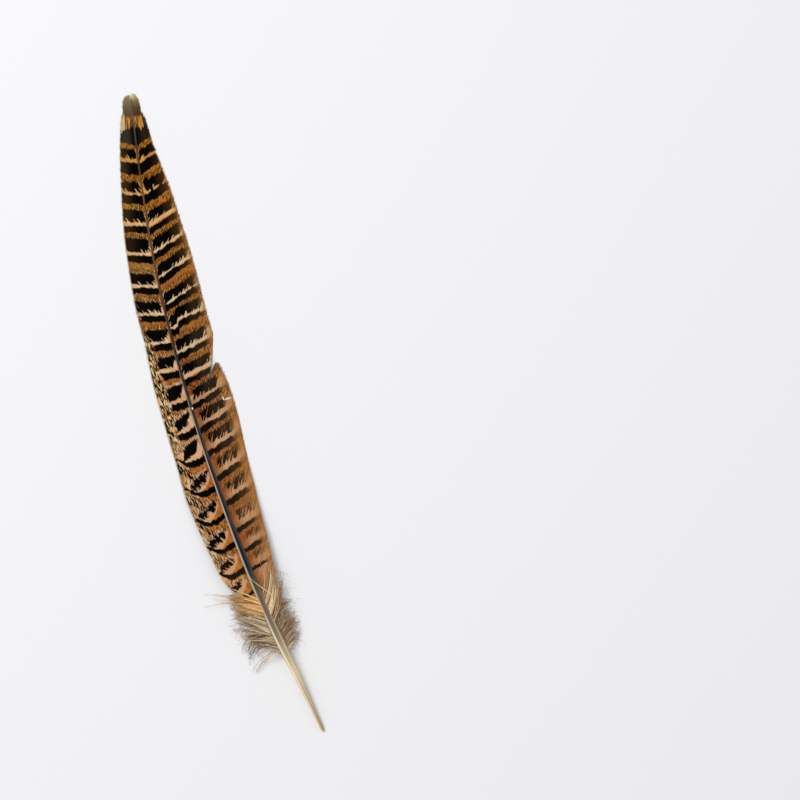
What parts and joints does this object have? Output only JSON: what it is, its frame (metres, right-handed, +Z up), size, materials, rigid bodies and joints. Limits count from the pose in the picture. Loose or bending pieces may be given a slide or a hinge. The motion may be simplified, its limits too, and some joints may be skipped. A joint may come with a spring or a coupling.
{
  "type": "pheasant tail feather",
  "caption": "Long barred tail feather lying on its underside, with a sickle-curved shaft, a split in the right vane, downy barbs at the foot and a bare straw-coloured quill.",
  "frame": {"origin": "middle of the feather's box, on the surface that it lies on", "axes": "+Y from the quill's end to the feather's tip, +X to the right as seen from above with the tip away, +Z up"},
  "size_m": [0.0332, 0.25, 0.0064],
  "materials": {
    "feather": "fine parallel barbs with a soft silky sheen, on a smooth horny shaft"
  },
  "bodies": {
    "root": {"feather": "feather"}
  },
  "joints": []
}
